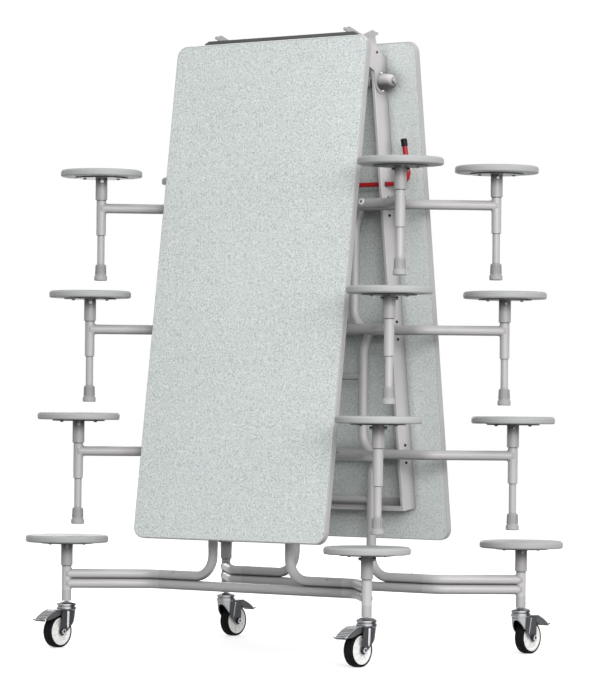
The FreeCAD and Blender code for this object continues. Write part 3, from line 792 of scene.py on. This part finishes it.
def ribFeet():
    g = stoolGrid
    middle = between(footRib["low"], footRib["high"], 0.5)
    size = Matrix.Diagonal((footRib["proud"], footRib["wide"], footRib["high"] - footRib["low"], 1.0))
    reach = Matrix.Translation((footRib["radius"], 0, 0)) @ Matrix.Rotation(-footRib["lean"], 4, "Y")
    for body, sy, shift, isBase in stoolRows():
        if isBase:
            continue
        bm = bmesh.new()
        for sx in (-1, 1):
            base = Matrix.Translation(Vector((sx * g["columnX"], sy * g["columnY"], middle)) + shift)
            for i in range(footRib["count"]):
                turn = Matrix.Rotation(fullTurn * i / footRib["count"], 4, "Z")
                bmesh.ops.create_cube(bm, size=1.0, matrix=base @ turn @ reach @ size)
        addPiece(bm, body + "_footRibs", body, "footRubber", smooth=False)


ribFeet()
print("feet ribbed")

# hex head and nut of the clamp bolt under every seat
clamp = {"height": 0.3100, "from": 0.0186, "to": 0.0257, "headR": 0.00645, "nutR": 0.0054, "bevel": 0.0004}


def clampSeats():
    g = stoolGrid
    reach = between(clamp["from"], clamp["to"], 0.5)
    for body, sy, shift, isBase in stoolRows():
        bm = bmesh.new()
        for sx in (-1, 1):
            post = Vector((sx * g["columnX"], sy * g["columnY"], clamp["height"])) + shift
            across = Vector((-sy, sx, 0)).normalized()
            for outward, radius in ((across, clamp["headR"]), (-across, clamp["nutR"])):
                place = standing(post + outward * reach, outward, alongZ)
                hexHead(bm, place, radius, clamp["to"] - clamp["from"])
        softenEdges(bm, clamp["bevel"])
        addPiece(bm, body + "_clampScrews", body, "screwSteel", smooth=False)


clampSeats()
print("seat clamps fitted")

# caster wheels: grooved tyre, ribbed centre, axle nuts
caster = {
    "trail": 0.039, "wheelR": 0.050, "halfWidth": 0.016, "rimR": 0.042, "rimInset": 0.001, "turnSteps": 96,
    # in from the tread and in from the side
    "shoulder": ((0.0046, 0.0), (0.0024, 0.0008), (0.0009, 0.0032), (0.0003, 0.0062)),
    "grooveAt": 0.0062, "grooveHalf": 0.0009, "grooveDepth": 0.0016, "grooveFloor": 0.4,
    "ribs": 10, "ribIn": 0.0150, "ribOut": 0.0345, "ribWide": 0.0022, "ribLow": 0.0110, "ribHigh": 0.0142,
    "nutR": 0.0082, "nutFrom": 0.0252, "nutTo": 0.0290, "nutBevel": 0.0005,
}


def tyreProfile():
    c = caster
    w, r = c["halfWidth"], c["wheelR"]
    at, mouth, bottom = c["grooveAt"], c["grooveHalf"], r - c["grooveDepth"]
    floor = c["grooveFloor"] * mouth
    half = [(c["rimR"], w - c["rimInset"])]
    half += [(r - down, w - inward) for down, inward in c["shoulder"]]
    half += [(r, at + mouth), (bottom, at + floor), (bottom, at - floor), (r, at - mouth)]
    return [(a, -z) for a, z in half] + half[::-1]


def treadTyre(name, place):
    bm = bmesh.new()
    bmesh.ops.transform(bm, matrix=place, verts=spunVerts(bm, tyreProfile(), caster["turnSteps"]))
    tyre = addPiece(bm, name + "_tyreTread", name + "_wheel", "tyreRubber")
    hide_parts(name + "_caster_tyre")


def ribHub(name, place):
    c = caster
    size = Matrix.Diagonal((c["ribOut"] - c["ribIn"], c["ribWide"], c["ribHigh"] - c["ribLow"], 1.0))
    bm = bmesh.new()
    for face in (-1, 1):
        middle = (between(c["ribIn"], c["ribOut"], 0.5), 0, face * between(c["ribLow"], c["ribHigh"], 0.5))
        for i in range(c["ribs"]):
            turn = Matrix.Rotation(fullTurn * i / c["ribs"], 4, "Z")
            bmesh.ops.create_cube(bm, size=1.0, matrix=place @ turn @ Matrix.Translation(middle) @ size)
    addPiece(bm, name + "_hubRibs", name + "_wheel", "wheelCentre", smooth=False)


def nutAxle(name, place):
    c = caster
    bm = bmesh.new()
    for face in (-1, 1):
        middle = Matrix.Translation(face * between(c["nutFrom"], c["nutTo"], 0.5) * alongZ)
        hexHead(bm, place @ middle, c["nutR"], c["nutTo"] - c["nutFrom"])
    softenEdges(bm, c["nutBevel"])
    addPiece(bm, name + "_axleNuts", name + "_fork", "zincBright", smooth=False)


def fitCasters():
    toX = Matrix.Rotation(math.pi / 2, 4, "Y")
    for name, sx, sy in corners():
        y = sy * (stoolGrid["columnY"] + caster["trail"])
        place = Matrix.Translation((sx * stoolGrid["columnX"], y, caster["wheelR"])) @ toX
        treadTyre(name, place)
        ribHub(name, place)
        nutAxle(name, place)


fitCasters()
print("casters fitted")

# rolled edges of the brake pedals, on the arc of the hood
rolledEdge = {
    "arc": ((0.0620, 0.1172), (0.0930, 0.1052), (0.1190, 0.0877)),      # out from the column, and height
    "halfWidth": 0.0198, "radius": 0.0013, "sides": 8, "steps": 10,
}


def arcThrough(first, middle, last, steps):
    (ax, ay), (bx, by), (cx, cy) = first, middle, last
    d = 2 * (ax * (by - cy) + bx * (cy - ay) + cx * (ay - by))
    a2, b2, c2 = ax * ax + ay * ay, bx * bx + by * by, cx * cx + cy * cy
    ox = (a2 * (by - cy) + b2 * (cy - ay) + c2 * (ay - by)) / d
    oy = (a2 * (cx - bx) + b2 * (ax - cx) + c2 * (bx - ax)) / d
    start, stop = math.atan2(ay - oy, ax - ox), math.atan2(cy - oy, cx - ox)
    radius = math.hypot(ax - ox, ay - oy)
    turns = [between(start, stop, i / steps) for i in range(steps + 1)]
    return [(ox + radius * math.cos(t), oy + radius * math.sin(t)) for t in turns]


def rollPedals():
    arc = arcThrough(*rolledEdge["arc"], rolledEdge["steps"])
    for name, sx, sy in corners():
        bm = bmesh.new()
        for edge in (-1, 1):
            x = sx * stoolGrid["columnX"] + edge * rolledEdge["halfWidth"]
            points = [Vector((x, sy * (stoolGrid["columnY"] + out), z)) for out, z in arc]
            tubeAlong(bm, points, rolledEdge["radius"], rolledEdge["sides"], alongX)
        addPiece(bm, name + "_pedalEdges", name + "_pedal", "zincBright")


rollPedals()
print("pedal edges rolled")

# beads on the fork cheeks, which spread upward from lowAt to highAt; on the front forks they carry a painted
# highlight, the bright streak down the bend of the sheet
cheekBead = {
    "low": 0.059, "high": 0.113, "lowY": 0.016, "highY": 0.0205,
    "wide": 0.0050, "proud": 0.0022, "sink": 0.0003,
    "halfLow": 0.0196, "halfHigh": 0.0286, "lowAt": 0.036, "highAt": 0.118,
    "rings": 12, "sides": 12, "tipShare": 0.05, "tipGrowth": 5,     # the lower tip starts thin
}


def beadPlaces(sx, sy, cheek):
    c = cheekBead
    for i in range(c["rings"] + 1):
        t = i / c["rings"]
        z = between(c["low"], c["high"], t)
        out = between(c["halfLow"], c["halfHigh"], (z - c["lowAt"]) / (c["highAt"] - c["lowAt"])) - c["sink"]
        y = stoolGrid["columnY"] + between(c["lowY"], c["highY"], t)
        full = min(1.0, math.sqrt(t * c["tipGrowth"] + c["tipShare"]))
        size = Matrix.Diagonal((c["proud"] * full, c["wide"] * full, 1.0, 1.0))
        yield Matrix.Translation((sx * stoolGrid["columnX"] + cheek * out, sy * y, z)) @ size


def beadCheeks():
    for name, sx, sy in corners():
        bm = bmesh.new()
        for cheek in (-1, 1):
            tubeThrough(bm, list(beadPlaces(sx, sy, cheek)), cheekBead["sides"])
        # painted highlight on the front forks; the rear beads take the shaded plate
        finish = "zincBright" if name.startswith("front") else "zincPlate"
        addPiece(bm, name + "_cheekBeads", name + "_fork", finish)


beadCheeks()
print("fork cheeks beaded")

# socket head bolts on the arms of the top row: a ring painted bright as a highlight round a socket painted
# dark as shade
armBolt = {
    "x": 0.3115, "tip": 0.35, "ringR": 0.0102, "holeR": 0.0041, "flat": 0.9, "chamfer": 0.0006,
    "foot": 0.0100, "top": 0.0178, "floor": 0.0168, "turnSteps": 18,
}


def boltArms():
    g = stoolGrid
    r, hole, foot, top, floor = (armBolt[k] for k in ("ringR", "holeR", "foot", "top", "floor"))
    ring = [(hole, foot), (hole, top), (armBolt["flat"] * r, top), (r, top - armBolt["chamfer"]), (r, foot),
            (hole, foot)]
    socket = [(0, foot), (0, floor), (hole, floor), (hole, foot), (0, foot)]
    # the ring carries a painted highlight, the socket painted shade
    parts = (("_armRings", ring, "paintedHighlight"), ("_armSockets", socket, "screwBlack"))
    for body, sy, shift, isBase in stoolRows():
        if not body.endswith("_row1"):
            continue
        for name, profile, finish in parts:
            bm = bmesh.new()
            for sx in (-1, 1):
                at = Vector((sx * armBolt["x"], sy * g["armY"], g["armZ"])) + shift
                place = standing(at, Vector((0, sy, armBolt["tip"])), alongX)
                bmesh.ops.transform(bm, matrix=place, verts=spunVerts(bm, profile, armBolt["turnSteps"]))
            addPiece(bm, body + name, body, finish, smooth=False)


boltArms()
print("arm bolts set")

# damper housing on the rear top pivot, a tapering cup with a stud
damper = {
    "depth": 0.0515, "along": 1.4140, "from": 0.2612,
    # radius and height
    "profile": ((0.0, 0.0), (0.0246, 0.0), (0.0244, 0.014), (0.0230, 0.030), (0.0205, 0.040),
                (0.0170, 0.0445), (0.0120, 0.0460), (0.0085, 0.0462), (0.0085, 0.0520), (0.0076, 0.0530),
                (0.0, 0.0530)),
    "turnSteps": 48, "sharpFrom": math.radians(40),
}


def capDamper():
    pivot = Vector((damper["from"], *onHalf(1, damper["depth"], damper["along"])))
    bm = bmesh.new()
    cupVerts = spunVerts(bm, damper["profile"], damper["turnSteps"])
    bmesh.ops.transform(bm, matrix=standing(pivot, alongX, alongZ), verts=cupVerts)
    cup = addPiece(bm, "rear_damperCup", "rear_top", "damperPaint")
    cup.data.set_sharp_from_angle(angle=damper["sharpFrom"])


capDamper()
print("damper capped")

# painted highlight: a pale bead along the top edge of the front half and round its corners, standing for the
# glint of the edge band
edgeGlint = {
    "halfWidth": 0.375, "along": 1.530, "corner": 0.036, "inset": 0.0006, "depth": 0.0014, "radius": 0.0015,
    "round": math.radians(62), "steps": 14, "sides": 10,
}


def glintTopEdge():
    e = edgeGlint
    reach = e["corner"] - e["inset"]
    right = []
    for i in range(e["steps"] + 1):
        turn = math.pi / 2 - e["round"] * i / e["steps"]
        x = e["halfWidth"] - e["corner"] + reach * math.cos(turn)
        right.append((x, *onHalf(-1, e["depth"], e["along"] - e["corner"] + reach * math.sin(turn))))
    left = [(-x, y, z) for x, y, z in right[::-1]]
    bm = bmesh.new()
    tubeAlong(bm, [Vector(p) for p in left + right], e["radius"], e["sides"], alongY)
    addPiece(bm, "front_edgeGlint", "front_top", "paintedHighlight")


glintTopEdge()
print("top edge beaded")
